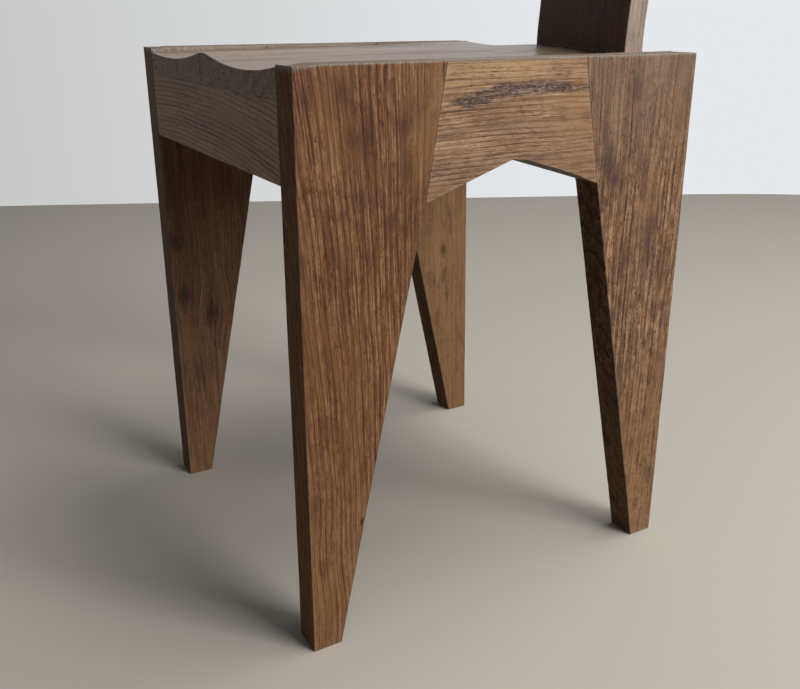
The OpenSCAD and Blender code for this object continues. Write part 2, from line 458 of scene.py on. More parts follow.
def grain_of(material, place, look):
    """The tone of the wood, and the patterns that the wear and the surface read too."""
    line = ring_lines(material, place, look)
    fibres = streaks(material, place, *FIBRES)
    specks = streaks(material, place, *SPECKS)
    pores = streaks(material, place, *PORES)
    pores = add(material, "MapRange", pores, 0.54, 0.68, **SMOOTH)
    grains = (
        (streaks(material, place, *FINE_FIBRES), 1.5 * look.fibres),
        (fibres, 2.7 * look.fibres),
        (streaks(material, place, *BROAD_FIBRES), look.fibres),
        (streaks(material, place, *FIGURE), look.mottle),
        (specks, look.specks),
    )
    tone = MIDDLE_TONE - sum(strength for grain, strength in grains) / 2
    for grain, strength in (*grains, (line, -0.62 * look.lines), (pores, -look.specks)):
        tone = add(material, "Math", grain, strength, tone, operation="MULTIPLY_ADD")
    return SimpleNamespace(tone=tone, line=line, fibres=fibres, specks=specks, pores=pores)


def tone_colours(material, tone, tones):
    """The colour of each tone, from four colours with soft steps between them."""
    colour = add(material, "ValToRGB", tone)
    stops = colour.node.color_ramp.elements
    stops[0].position = 0.05
    stops[0].color = linear(tones[0])
    stops[1].position = 0.95
    stops[1].color = linear(tones[3])
    stops.new(0.40).color = linear(tones[1])
    stops.new(0.62).color = linear(tones[2])
    return colour


print("a finish is", len(ELM), "usual values and four tones")

# %% [markdown]
# ## Stain, paler fibres and painted light
# Stain soaks in unevenly. Where it is thin, a golden tone comes through, where it pooled there are dark
# blotches, and a layer of paler fibres lies over parts of the chair, which on the far legs and on the back
# board's left edge is painted light. Each is a layer: how much of it covers a place, and its colour. Layers
# laid over each other in turn are easier to follow than one large mixture.

# %% Layers of stain


def worn_value(material, name, strength=1.0):
    """One of the wear values that the mesh stores on its points, times a strength."""
    value = add(material, "Attribute", attribute_name=name, out="Fac")
    return add(material, "Math", value, strength, operation="MULTIPLY")


def stain_layers(material, place, grain, look):
    """The layers of thin stain, paler fibres that are partly painted light, and pooled stain, as (cover,
    colour).
    """
    golden = streaks(material, place, (30, 30, 90))
    golden = add(material, "MapRange", golden, 0.45, 0.66, 0.0, 0.45, **SMOOTH)
    # Paler fibres: on the far legs and the back board's left edge this is painted light.
    paler_and_lit = add(material, "Math", worn_value(material, "bleach"), grain.tone, operation="MULTIPLY")
    pooled = streaks(material, place, (15, 15, 38), 4.0, 0.62)
    spotted = add(material, "MapRange", pooled, 0.26, 0.50, 0.45, 1.1, **SMOOTH)
    spotted = add(material, "Math", spotted, worn_value(material, "stain"), operation="MULTIPLY")
    pooled = add(material, "MapRange", pooled, 0.53, 0.72, 0.0, look.blotches, **SMOOTH)
    pooled = add(material, "Math", pooled, spotted, operation="MAXIMUM")
    return [
        (golden, linear(look.warm_tone)),
        (paler_and_lit, linear(look.pale_tone)),
        (pooled, linear(look.blotch_tone)),
    ]


print("stain pools in blotches about 15 mm wide and 38 mm long")

# %% [markdown]
# ## Wear and dirt, with painted shade and sheen
# Over the stain lies what use did, and some painted light. Rubbed arrises are pale and patchy. End grain is
# dark because it drank more stain, and the legs' narrow edges share its layer as a painted shade. A pale grey
# that stands on the fibres is partly real and partly a painted sheen on tops and edges. Dirt collects in
# joints and knots, and the knots' dark layer also paints the shade under the side rails' arches. The pores of
# end grain are 0.2 mm wide and are drawn 2 mm wide, and 5 mm on the seat's front, which is mostly seen at a
# slant.

# %% Layers of wear

# A Mix node's sockets share their names, so its two colours go by number: 6 below and 7 above.
LAYER = {"data_type": "RGBA", "out": 2}
JOINT_DIRT = 0.15


def wear_layers(material, place, grain, ends, look):
    """The layers of rubbing, dark end grain and painted edge shade, grey and painted sheen, and dirt and
    painted shade, as (cover, colour).
    """
    patchy = streaks(material, place, (4, 4, 14), 3.0, 0.65)
    patchy = add(material, "MapRange", patchy, 0.36, 0.66, **SMOOTH)
    rubbed = worn_value(material, "wear", look.worn)
    rubbed = add(material, "Math", rubbed, patchy, operation="MULTIPLY")
    open_pores = streaks(material, place, look.pore_size, 3.0, 0.7)
    dark_ends = add(material, "MapRange", open_pores, *look.end_pores, **SMOOTH)
    dark_ends = add(material, "Math", ends, dark_ends, operation="MULTIPLY")
    standing = add(material, "Math", grain.fibres, grain.specks, operation="ADD")
    standing = add(material, "MapRange", standing, 0.75, 1.25, **SMOOTH)
    # Part of this grey is a painted sheen on the frames' tops, the seat's front arris and the back board's
    # edge.
    greys = {6: linear("#6B5E54"), 7: linear("#A49789")}
    grey = add(material, "Mix", standing, links=greys, **LAYER)
    return [
        (rubbed, linear(look.worn_tone)),
        (dark_ends, linear(look.end_tone)),
        (worn_value(material, "greyed"), grey),
        (worn_value(material, "seam", JOINT_DIRT), linear("#1E140E")),
        # This dark layer also paints the shade under the side rails' arches.
        (worn_value(material, "knot"), linear("#1B110B")),
    ]


print("joint lines are darkened by", JOINT_DIRT)

# %% [markdown]
# ## Torn grain
# Where a plane ran against the fibres it lifted them and tore them out. The place is dark, with
# pale broken ends, and it stands rough. The mesh says where the band is, and noise gives it a
# ragged rim, which no outline drawn by hand would have.

# %% Torn grain


def torn_grain(material, place, colour, height):
    """The colour and the height of the surface with the band of torn grain laid over them."""
    band = worn_value(material, "torn")
    flecks = streaks(material, place, (1.1, 1.1, 3.6), 4.0, 0.78)
    ragged = streaks(material, place, (2.2, 2.2, 15), 4.0, 0.68)
    cover = add(material, "Math", ragged, 3.4, band, operation="MULTIPLY_ADD")
    cover = add(material, "MapRange", cover, 1.7, 2.9, 0.0, 0.92, **SMOOTH)
    inside = add(material, "MapRange", band, 0.0, 0.35, **SMOOTH)
    cover = add(material, "Math", cover, inside, operation="MULTIPLY")
    pale = add(material, "MapRange", flecks, 0.45, 0.70, **SMOOTH)
    torn = {6: linear("#3F2C29"), 7: linear("#A3918B")}
    torn = add(material, "Mix", pale, links=torn, **LAYER)
    colour = add(material, "Mix", cover, links={6: colour, 7: torn}, **LAYER)
    lifted = add(material, "Math", cover, flecks, operation="MULTIPLY")
    return colour, add(material, "Math", lifted, 1.6, height, operation="MULTIPLY_ADD")


print("torn flecks are about 1.1 mm wide and 3.6 mm long")

# %% [markdown]
# ## The wood finish
# Everything comes together in one finish. Oil leaves a soft sheen that is a little streaky, end
# grain is dull, and the open pores are sunk. They are far too small to be worth a mesh, so a bump
# sinks them.

# %% The wood finish

PORE_DEPTH = 0.25 * MM


def wood(name, tones, torn=False, **own):
    """Oiled ring-porous wood. tones are four sRGB colours from the darkest line to the palest
    fibre, and own the values in which the finish differs from ELM."""
    look = SimpleNamespace(**(ELM | own))
    material, shader = new_material(name)
    place = add(material, "Attribute", attribute_name="tree", out="Vector")
    grain = grain_of(material, place, look)
    ends = worn_value(material, "ends")
    colour = tone_colours(material, grain.tone, tones)
    layers = stain_layers(material, place, grain, look)
    for cover, layer in layers + wear_layers(material, place, grain, ends, look):
        colour = add(material, "Mix", cover, links={6: colour, 7: layer}, **LAYER)

    height = add(material, "Math", grain.fibres, 0.7, operation="MULTIPLY")
    for hollow, depth in ((grain.line, -0.8), (grain.pores, -0.5)):
        height = add(material, "Math", hollow, depth, height, operation="MULTIPLY_ADD")
    rough = look.face_rough - look.streaky / 2
    for cause, strength in ((grain.fibres, look.streaky), (ends, look.end_rough)):
        rough = add(material, "Math", cause, strength, rough, operation="MULTIPLY_ADD")
    if torn:
        colour, height = torn_grain(material, place, colour, height)

    relief = {"Height": height, "Strength": 0.7, "Distance": PORE_DEPTH}
    relief = add(material, "Bump", links=relief)
    shader.inputs["Specular IOR Level"].default_value = look.sheen
    for socket, value in (("Base Color", colour), ("Roughness", rough), ("Normal", relief)):
        material.node_tree.links.new(value, shader.inputs[socket])
    print(name, "has", len(material.node_tree.nodes), "nodes")
    return material


# %% [markdown]
# ## The finishes of the legs
# Elm boards, planed, stained brown and oiled. Planing leaves the pores open and the stain finds
# them, so the eye sees a warm brown with dark, broken pore lines. Each leg was sawn from another
# plank: the near front one is reddish with fine rings, the far ones are calm and darker, and
# the near rear one is coarse, with many open pores and pale fibres.

# %% The finishes of the legs

leg_wood = wood(
    "stained_elm_oiled_leg", ("#351F13", "#5A3822", "#784E32", "#AC8860"), ring=4.1,
    fibres=0.42, mottle=0.42, blotches=0.52, blotch_tone="#4A2D1F", warm_tone="#855A36",
    pale_tone="#96714B", broken=0.25, worn=0.18,
)
calm_leg_wood = wood(
    "stained_elm_oiled_leg_even_grain", ("#2A190F", "#4F3423", "#6B4A34", "#89654A"), ring=6.4,
    lines=0.26, fibres=0.42, mottle=0.3, blotches=0.6, blotch_tone="#46322A", broken=0.6,
)
pored_leg_wood = wood(
    "stained_elm_oiled_leg_open_pores", ("#2F1F15", "#5E4230", "#876449", "#BB9672"), ring=4.6,
    mottle=0.85, blotches=0.66, blotch_tone="#4A3531", specks=0.62, broken=0.6,
)

# %% [markdown]
# ## The finishes of the rails
# The same planed and oiled elm. The side rails took little stain, so they stayed a light tan and their level
# pore lines stand out. The cross rails have the boldest rings. Their wood is a pale brown, greyed a little as
# a painted cool shade, and it looks dark because it lies in the shade of the seat.

# %% The finishes of the rails

rail_wood = wood(
    "stained_elm_oiled_side_rail", ("#4E3726", "#7F5F46", "#A07B5E", "#C4A482"), ring=3.7,
    lines=0.66, fibres=0.42, mottle=0.5, blotches=0.7, blotch_tone="#6B5144",
    warm_tone="#A67F54", pale_tone="#C19C70", worn_tone="#BBA790", swirl=1.1, broken=0.55,
    specks=0.34, torn=True,
)
# Greyed a little as a painted cool shade.
cross_wood = wood(
    "stained_elm_oiled_cross_rail", ("#36271E", "#8E7463", "#B69984", "#D2B8A0"), ring=4.0,
    lines=1.0, fibres=0.36, mottle=0.25, blotches=0.3, blotch_tone="#6E594D",
    warm_tone="#AA9079", swirl=0.35, broken=0.5,
)

# %% [markdown]
# ## The finishes of the seat and the back
# The seat is elm that was carved, scraped and waxed, and then polished by sitting. It is grey brown and the
# smoothest wood on the chair, so it mirrors the light at a low angle, and part of its grey is a painted sheen
# of that light. Its dull end grain at the front looks much darker. The back board is oiled elm with a dark
# stain, darkened further as a painted shade, and its left edge is painted pale as a highlight.

# %% The finishes of the seat and the back

# The grey of these tones is partly a painted sheen of low light on the seat.
seat_wood = wood(
    "waxed_elm_seat", ("#36281F", "#6C5A4A", "#8B7866", "#AD9B86"), ring=4.6, face_rough=0.32,
    lines=0.75, blotch_tone="#7A5238", fibres=0.6, blotches=0.3, warm_tone="#8E7558", sheen=0.6,
    streaky=0.5, end_tone="#472B19", end_pores=(0.45, 0.64, 0.05, 0.8), pore_size=(1.7, 5.0, 10),
    end_rough=0.42, pale_tone="#B09A86",
)
# Dark tones, partly painted shade; the pale tone paints the highlight on the left edge.
back_wood = wood(
    "stained_elm_oiled_back", ("#1A110B", "#352218", "#4E3528", "#745643"), ring=6.0,
    fibres=0.42, blotches=0.3, warm_tone="#543A2A", pale_tone="#C0A798",
    face_rough=0.55, sheen=0.25,
)

# %% [markdown]
# ## The finish of the dowels
# Dowels are beech, turned and left bare. To the eye beech is pale and close-grained, dull, with
# short brown flecks, which are its rays. The dowels keep their CAD mesh and have no place in a
# log, so this finish reads the object's own coordinates, in metres, made millimetres first.

# %% The finish of the dowels

dowel_wood, dowel_shader = new_material("bare_turned_beech")
dowel_shader.inputs["Roughness"].default_value = 0.6
metres = add(dowel_wood, "TexCoord", out="Object")
place = add(dowel_wood, "VectorMath", metres, links={"Scale": 1 / MM}, operation="SCALE")
fibres = streaks(dowel_wood, place, (0.8, 6, 0.8), 3.0, 0.6)
rays = streaks(dowel_wood, place, (0.6, 2.5, 0.6), 2.0, 0.6)
rays = add(dowel_wood, "MapRange", rays, 0.56, 0.66, 0.0, 0.6, **SMOOTH)
beech = {6: linear("#B99469"), 7: linear("#D8BC96")}
beech = add(dowel_wood, "Mix", fibres, links=beech, **LAYER)
beech = add(dowel_wood, "Mix", rays, links={6: beech, 7: linear("#8F6B47")}, **LAYER)
dowel_wood.node_tree.links.new(beech, dowel_shader.inputs["Base Color"])
print("materials:", sorted(m.name for m in bpy.data.materials))

# %% [markdown]
# ## The legs
# Each leg is one flat board with upright grain. Its outer edge stands nearly straight and its
# inner edge slants, in two stretches: along the joint with the side rail, and from there to
# the foot. So the width is a function of the height, and the board is laid between its two
# edges at every height.

# %% Leg shape

joint_share = knee_h / seat_h


def edge_line(z, low, knee, top):
    """A leg's slanted edge: straight from the floor to the knee, and straight from there up."""
    lower = low + (knee - low) * z / knee_h
    upper = knee + (top - knee) * (z - knee_h) / (seat_h - knee_h)
    return np.where(z < knee_h, lower, upper)


def front_edges(z):
    """The y of the front leg's two edges at height z, the front one first."""
    outer = front_toe + (front_y - front_toe) * z / seat_h
    return outer, edge_line(z, front_toe + foot_w, front_joint_low, front_joint_top)


def rear_edges(z):
    """The y of the rear leg's two edges at height z, the front one first."""
    outer = rear_toe + (rear_y - rear_toe) * z / seat_h
    return edge_line(z, rear_toe - foot_w, rear_joint_low, rear_joint_top), outer


def leg(edges, x_from):
    """The side lengths and the placing function of a leg: s goes up, t back and u along X."""
    def lengths(s, t, u):
        low, high = edges(s * seat_h)
        return np.full_like(low, seat_h), high - low, np.full_like(low, board_t)

    def place(s, t, u):
        low, high = edges(s * seat_h)
        return np.stack([x_from + u * board_t, low + t * (high - low), s * seat_h], 1)

    return lengths, place


print("the slanted joint takes up", round(100 * (1 - joint_share)), "percent of a leg's height")

# %% [markdown]
# ## Arrises of the side frames
# A frame's arrises were rubbed in use, but not everywhere. Inside a glued joint they are still
# sharp, and beside the carved seat, where cloth slides over them, they are quite round.

# %% Arrises of the side frames

OPEN_ARRIS = 0.9
BY_SEAT = 2.8


def tight_above_knee(s, t, u):
    """The radius of a leg's slanted edge: tight in the joint, rubbed below it."""
    return np.where(s > joint_share, TIGHT, 1.0)


def radii_by_seat(x_from, up):
    """The radii of a frame board's top and its inner side, as a dict. Their shared arris is
    round where it meets the seat. up is the number of the axis that goes up."""
    inner = "u0" if x_from > 0 else "u1"

    def top(*shares):
        inward = shares[2] if inner == "u1" else 1 - shares[2]
        return np.where(inward > 0.8, BY_SEAT, OPEN_ARRIS)

    def inner_side(*shares):
        return np.where(shares[up] > 0.9, BY_SEAT, OPEN_ARRIS)

    return {("s1", "t1")[up]: top, inner: inner_side}


print("arrises are", OPEN_ARRIS, "mm round in the open and", BY_SEAT, "mm beside the seat")

# %% [markdown]
# ## Paler legs, and painted light and sheen
# The legs are painted paler towards the floor, and on the far legs this is painted light, where they come out
# of the seat's shadow. The left legs are paler near the joint too, and the tops of the frames carry a painted
# sheen. A mask painted by hand would be tied to one mesh, so each is a product of smooth steps in x, y and z,
# which can be read as a sentence: near the front, above this height, on the outer side.

# %% Paling, painted light and painted sheen of the frames


def bleaching(node, points):
    """How much paler a leg is painted, 0 to 1: towards the floor, which on the right legs is painted light,
    and on the left ones also near the joint.
    """
    y, z = points[:, 1], points[:, 2]
    if node == "front_leg_left":
        return 0.9 * ramp(y, -125, -82) * ramp(z, 330, 420) + 0.75 * ramp(z, 260, 60)
    if node == "rear_leg_left":
        return 0.75 * ramp(z, 330, 420) + ramp(z, 230, 60)
    if node == "rear_leg_right":
        return ramp(z, 440, 200)
    return 0.4 * ramp(z, 200, 20)


def greyed_top(points):
    """Where the frames are painted pale grey, 0 to 1: a painted sheen on their tops and on the strip of the
    right frame's inner side that shows over the seat, and a pale line along the left frame's outer top arris
    from the joint with its front leg to the back."""
    x, y, z = points.T
    sunk = 2.0 * ramp(y, front_y + 22, front_y + 1)
    top = 0.85 * ramp(z, seat_h - 1.6 - sunk, seat_h - 0.8 - sunk)
    inside = 1.2 * ramp(z, seat_h - 8, seat_h - 4) * ramp(x, -inner_x - 4.5, -inner_x - 1.5) * (x < 0)
    outside = ramp(z, seat_h - 2.2, seat_h - 0.5) * ramp(x, half_w - 2.6, half_w - 0.8)
    outside = outside * ramp(y, front_joint_top - 10, front_joint_top + 10)
    return np.maximum.reduce([top, inside, 0.95 * outside])


def greyed_leg(node, points):
    """The grey of a leg, 0 to 1: its top with the painted sheen, the right front leg's front edge, and a
    faint uneven haze on the upper outer face of the left rear leg."""
    x, y, z = points.T
    grey = greyed_top(points)
    if node == "front_leg_right":
        front = 0.3 * ramp(y - front_edges(z)[0], 1.1, 0.5)
        grey = np.maximum(grey, front * (0.3 + 0.7 * ramp(z, 340, 430)))
    if node == "rear_leg_left":
        haze = 0.18 * ramp(z, 345, 430) * ramp(x, half_w - 8, half_w - 2)
        grey = np.maximum(grey, haze * (1 + 0.9 * unevenness(points, (9, 9, 26), 5)))
    return grey


probe = np.array([[half_w - 5, 0, seat_h], [half_w - 5, 0, seat_h - 50]])
print("grey on a frame's top and 50 mm below it:", greyed_top(probe).round(2).tolist())

# %% [markdown]
# ## Dark stains and painted shade on the edges
# The chair's left side has dark stains. Each is a soft ellipse with its own place, because chance put it
# there, and the finish's noise breaks up its rim. The legs' narrow edges are painted darker than their faces:
# a painted shade, since they face away from the light.

# %% Stains and painted shade on the edges

# Each stain is its place y, z, its half sizes in y and z, and its strength.
STAINS = {
    "front_leg_left": [
        (-155, 432, 8, 12, 0.7), (-139, 400, 10, 9, 0.7), (-108, 408, 9, 14, 0.65),
        (-105, 380, 6, 15, 0.7), (-120, 340, 5, 10, 0.6), (-107, 342, 3, 17, 0.6),
        (-178, 430, 7, 8, 0.6), (-156, 131, 2, 4, 0.9),
    ],
    "rear_leg_left": [
        (80, 370, 6, 17, 0.9), (88, 354, 6, 9, 0.9), (104, 424, 9, 13, 0.6),
        (118, 362, 12, 16, 0.45), (130, 300, 10, 34, 0.5), (108, 284, 8, 12, 0.5),
        (160, 424, 8, 14, 0.5),
    ],
    "side_rail_left": [(-79, 399, 13, 2.4, 0.9), (-20, 404, 30, 4, 0.5)],
}


def stains(node, points):
    """The dark stains on a left board's outer face, 0 to 1: exp(-r^2) in each ellipse, and a
    faint shade over the rear leg's top and the rail's lower part."""
    x, y, z = points.T
    total = np.zeros(len(points))
    for spot_y, spot_z, half_y, half_z, strength in STAINS.get(node, ()):
        away = ((y - spot_y) / half_y) ** 2 + ((z - spot_z) / half_z) ** 2
        total = np.maximum(total, strength * np.exp(-away))
    if node == "rear_leg_left":
        total = np.maximum(total, 0.22 * ramp(z, 340, 430))
    if node == "side_rail_left":
        total = np.maximum(total, 0.25 * ramp(z, 400, 368))
    return total * ramp(x, half_w - 8, half_w - 2)


def painted_edge_shade(edges, points):
    """How dark a leg's narrow edges are painted, 0 to 1: a painted shade, strongest on the slanted inner
    edges, which are nearly black below the joint."""
    x, y, z = points.T
    low, high = edges(z)
    inner, outer = (high, low) if edges is front_edges else (low, high)
    inner_dark = 0.9 * ramp(np.abs(y - inner), 1.1, 0.5) * ramp(z, knee_h + 3, knee_h - 1)
    share = np.where(x > 0, 0.42, 0.34) + 0.15 * ramp(z, 250, 80)
    outer_dark = share * ramp(np.abs(y - outer), 1.1, 0.5)
    return np.maximum(inner_dark, outer_dark) * ramp(z, seat_h - 2, seat_h - 6)


print("stains:", {node: len(spots) for node, spots in STAINS.items()})

# %% [markdown]
# ## A nick, knots and rubbed corners
# These are real hollows, so they go into the mesh and not only into the colour. A boolean cut
# would leave a sharp rim and messy faces. Here the points that are there already are sunk by a
# smooth function of their distance from its middle, which also says how dark they are.

# %% Nick, knots and rubbed corners

NICK_H = 107.0
RIGHT_FRONT_KNOTS = [
    (-inner_x, -150, 183, 6.5), (-inner_x, -178, 206, 6.5), (-inner_x, -182, 264, 6.0),
]
RIGHT_REAR_KNOTS = [(-inner_x, 137.5, 214, 4.0)]


def rubbed_corner(world, normal):
    """How deep the front end of a frame's top has been rubbed down, in millimetres."""
    return 2.0 * ramp(world[:, 1], front_y + 22, front_y + 1) * np.clip(normal[:, 0], 0, 1)


def nick(world, normal):
    """The small nick just inside the left front leg's slanted edge, and its rubbed corner."""
    y = float(front_edges(np.array([NICK_H]))[1][0])
    middle = np.array([half_w, y - 1.8, NICK_H])
    away = np.linalg.norm((world - middle) / np.array([9, 2.6, 3.4]), axis=1)
    depth = 1.0 * np.clip(1.2 - away, 0, 1) ** 0.7 + rubbed_corner(world, normal)
    return depth, {"knot": 0.8 * ramp(away, 1.35, 0.6)}


def knots(spots, corner=False):
    """Dents and dark spots where small knots sit, as (x, y, z, radius) in millimetres. corner
    says whether the board has a rubbed front corner too."""
    def mark(world, normal):
        dark = np.zeros(len(world))
        for *spot, r in spots:
            away = np.linalg.norm((world - np.array(spot)) / np.array([8, r, 1.7 * r]), axis=1)
            dark = np.maximum(dark, np.exp(-1.1 * away**2))
        depth = 0.25 * dark + (rubbed_corner(world, normal) if corner else 0)
        return depth, {"knot": 0.8 * dark}
    return mark


print("the nick lies", NICK_H, "mm above the floor, and the right legs have",
      len(RIGHT_FRONT_KNOTS) + len(RIGHT_REAR_KNOTS), "knots")

# %% [markdown]
# ## Making the legs
# The four legs differ in side, edges, log, marks and finish, so they are rows of a table and one
# loop makes them.

# %% Make the legs

LEGS = {
    "front_leg_left": dict(
        edges=front_edges, x_from=inner_x, seed=3, marks=nick, finish=leg_wood,
        log=dict(heart=(14, 78, 40), fan=-0.03, sweep=1.6),
    ),
    "front_leg_right": dict(
        edges=front_edges, x_from=-half_w, seed=17, marks=knots(RIGHT_FRONT_KNOTS, True),
        finish=calm_leg_wood, log=dict(heart=(34, 40, 300), fan=-0.02, spots=RIGHT_FRONT_KNOTS),
    ),
    "rear_leg_left": dict(
        edges=rear_edges, x_from=inner_x, seed=31, marks=None, finish=pored_leg_wood,
        log=dict(heart=(18, -90, 700), fan=-0.025),
    ),
    "rear_leg_right": dict(
        edges=rear_edges, x_from=-half_w, seed=43, marks=knots(RIGHT_REAR_KNOTS),
        finish=calm_leg_wood, log=dict(heart=(30, 70, 900), lean=0.02, spots=RIGHT_REAR_KNOTS),
    ),
}
leg_lines = (stations((0, joint_share, 1), (150, 44)), even(44), even(9))
for node, board in LEGS.items():
    edges, x_from, seed = board["edges"], board["x_from"], board["seed"]
    radii = dict(s0=1.3, t0=OPEN_ARRIS, t1=OPEN_ARRIS, u0=OPEN_ARRIS, u1=OPEN_ARRIS)
    radii["t1" if edges is front_edges else "t0"] = tight_above_knee
    radii.update(radii_by_seat(x_from, up=0))
    points, quads, fields = worn_board(node, leg_lines, *leg(edges, x_from), radii, seed, board["marks"])
    fields["bleach"] = bleaching(node, points)
    fields["stain"] = stains(node, points)
    fields["greyed"] = greyed_leg(node, points)
    # The edges' painted shade is stored with the dark end grain.
    fields["ends"] = np.maximum(fields["ends"], painted_edge_shade(edges, points))
    if node == "front_leg_left":
        # Its top was hardly rubbed, unlike those of the other frame boards.
        fields["wear"] = fields["wear"] * (1 - 0.9 * ramp(points[:, 2], seat_h - 6, seat_h - 3))
    middle_y = front_y + 50 if edges is front_edges else rear_y - 50
    centre = (x_from + board_t / 2, middle_y, seat_h / 2)
    tree = in_log(points, (0, 0, 1), (0, 1, 0), centre, seed=seed, **board["log"])
    make_piece(node + "_worn", points, quads, fields, tree, board["finish"], node)

# %% [markdown]
# ## The side rails
# A side rail fills the space between two legs: slanted ends, a flat top, and a bottom cut to a
# pointed arch. Its surface is blended between the bottom line and the top line, which keeps the
# grid straight in the joints and lets it follow the arch. The rear half of the arch was sawn a
# little out of square, as a hand saw easily does.

# %% Side rail shape

ASKEW = 2.2
arch_share = (arch_y - front_joint_low) / (rear_joint_low - front_joint_low)


def rail_bottom(s):
    """The height of the arched bottom at share s of its length."""
    rise = np.where(s < arch_share, s / arch_share, (1 - s) / (1 - arch_share))
    return knee_h + arch_rise * rise


def rail_lengths(s, t, u):
    """The rail's length, height and thickness at shares s, t, u."""
    low = rear_joint_low - front_joint_low
    top = rear_joint_top - front_joint_top
    return low + (top - low) * t, seat_h - rail_bottom(s), np.full_like(s, board_t)


def rail_place(x_from):
    """Blends the rail between its bottom line (t = 0) and its top line (t = 1). Where the arch
    was sawn askew, its bottom rises towards the rail's left face."""
    def place(s, t, u):
        low_y = front_joint_low + s * (rear_joint_low - front_joint_low)
        top_y = front_joint_top + s * (rear_joint_top - front_joint_top)
        askew = ramp(s, arch_share, arch_share + 0.08) * ramp(s, 1.02, 0.8)
        low_z = rail_bottom(s) + ASKEW * u * askew
        y = low_y + t * (top_y - low_y)
        return np.stack([x_from + u * board_t, y, low_z + t * (seat_h - low_z)], 1)
    return place


print("the arch's point lies at", round(100 * arch_share), "percent of the rail's length")

# %% [markdown]
# ## Making the side rails
# The left rail has a band of torn grain, 132 mm long. It is sunk into the mesh, with pits, and
# its strength is stored on the points, so that the finish darkens the same place.

# %% Make the side rails

TORN_FROM = -74
TORN_LENGTH = 132


def torn_band(world, normal):
    """Sinks the band of torn grain on the outer face: a line that rises and falls a little, with a half
    height that swells as a sine. Gives its strength too, 0 to 1, and a painted shade on the sawn underside of
    the arch."""
    x, y, z = world.T
    share = (y - TORN_FROM) / TORN_LENGTH
    middle = 421.5 + 7.5 * ramp(share, 0.0, 0.6) - 1.5 * ramp(share, 0.6, 1.0)
    half = 1.2 + 4.8 * np.sin(np.pi * np.clip(share, 0, 1) ** 0.75) ** 0.8
    half = half * (1 + 0.35 * unevenness(world, 7, 91))
    band = np.clip(1.4 - np.abs(z - middle) / np.maximum(half, 0.4), 0, 1)
    band = band * ramp(share, -0.02, 0.08) * ramp(share, 1.02, 0.94) * (x > half_w - 2)
    pits = 0.5 + 0.5 * unevenness(world, (3, 4.5, 1.6), 92)
    # Painted shade under the arch, stored with the dark marks.
    underside = 0.55 * ramp(-normal[:, 1], 0.5, 0.9)
    return ramp(band, 0.05, 0.9) * (0.15 + 0.4 * pits), {"torn": band, "knot": underside}


rail_lines = (stations((0, arch_share, 1), (74, 82)), even(72), even(9))
for node, x_from, seed, heart, lean, marks in (
    ("side_rail_left", inner_x, 57, (16, 92, 60), 0.0, torn_band),
    ("side_rail_right", -half_w, 71, (40, 60, 500), 0.02, None),
):
    radii = dict(s0=TIGHT, s1=TIGHT, t0=0.4, u0=0.8, u1=0.8)
    radii.update(radii_by_seat(x_from, up=1))
    place = rail_place(x_from)
    points, quads, fields = worn_board(node, rail_lines, rail_lengths, place, radii, seed, marks)
    # The rails' tops carry the painted sheen.
    fields["greyed"] = greyed_top(points)
    fields["stain"] = stains(node, points)
    fields["bleach"] = 0.7 * ramp(points[:, 2], 418, 440) * ramp(points[:, 1], 50, -20)
    centre = (x_from + board_t / 2, arch_y, (knee_h + seat_h) / 2)
    tree = in_log(points, (0, 1, 0), (0, 0, 1), centre, heart, lean, bow=1.5, thin=0.45, seed=seed)
    make_piece(node + "_worn", points, quads, fields, tree, rail_wood, node)

# %% [markdown]
# ## The front and rear rails
# These carry the seat boards. Each is a plain box between the side frames, so its lengths are
# the same everywhere. The front one was sawn near the log's side, and its grain sweeps
# down in long arches, which a bow in its log gives.

# %% Front and rear rails

cross_lines = (even(96), even(24), even(10))
# The middle of the arches lies this far to the sitter's right.
ARCH_ASIDE = np.array([60, 0, 0])


def block(low, high):
    """The side lengths and the placing function of a box: s goes along X, t up and u back."""
    size = high - low

    def lengths(s, t, u):
        return tuple(np.full_like(s, v) for v in size[[0, 2, 1]])

    def place(s, t, u):
        return np.stack([low[0] + s * size[0], low[1] + u * size[1], low[2] + t * size[2]], 1)

    return lengths, place


for node, seed, heart, lean, bow in (
    ("front_rail", 83, (10, 84, 30), 0.0, 3.0),
    ("rear_rail", 97, (30, 60, 400), 0.02, 1.0),
):
    low, high = span(node)
    radii = dict(s0=TIGHT, s1=TIGHT, t0=0.9, t1=TIGHT, u0=0.6, u1=0.6)
    points, quads, fields = worn_board(node, cross_lines, *block(low, high), radii, seed)
    fields["seam"] = fields["seam"] * 0.3
    centre = (low + high) / 2 - ARCH_ASIDE
    tree = in_log(points, (1, 0, 0), (0, 0, 1), centre, heart, lean, bow, thin=0.3, seed=seed)
    make_piece(node + "_worn", points, quads, fields, tree, cross_wood, node)

# %% [markdown]
# ## The carved seat
# The seat boards are glued edge to edge and then carved as one: two shallow hollows with a
# ridge between them, deeper at the front than at the back. The hollows are arcs, as in the CAD
# model, but the carver's scraper left no sharp line where they meet the flat, so arc and flat
# are blended by a smooth minimum.

# %% Seat surface

# The radius of the hollows and of the right one's flatter outer half, their depth at the front,
# how far they lie from the middle, how much shallower they are at the back, how far the ridge
# between them stands proud, and the difference in height below which arc and flat are blended.
hollow_r = 413.0
flat_hollow_r = 800.0
hollow_depth = 7.2
hollow_x = 88.5
hollow_loss = 4.0
ridge_proud = 0.7
scraped_w = 1.6
# The surface is laid this much too high, because the dip of a worn face takes about as much off.
dip_spare = 0.25


def softer_low(a, b, width):
    """The lower of a and b, blended smoothly where they differ by less than width."""
    mix = np.clip(0.5 + 0.5 * (b - a) / width, 0, 1)
    return b + (a - b) * mix - width * mix * (1 - mix)


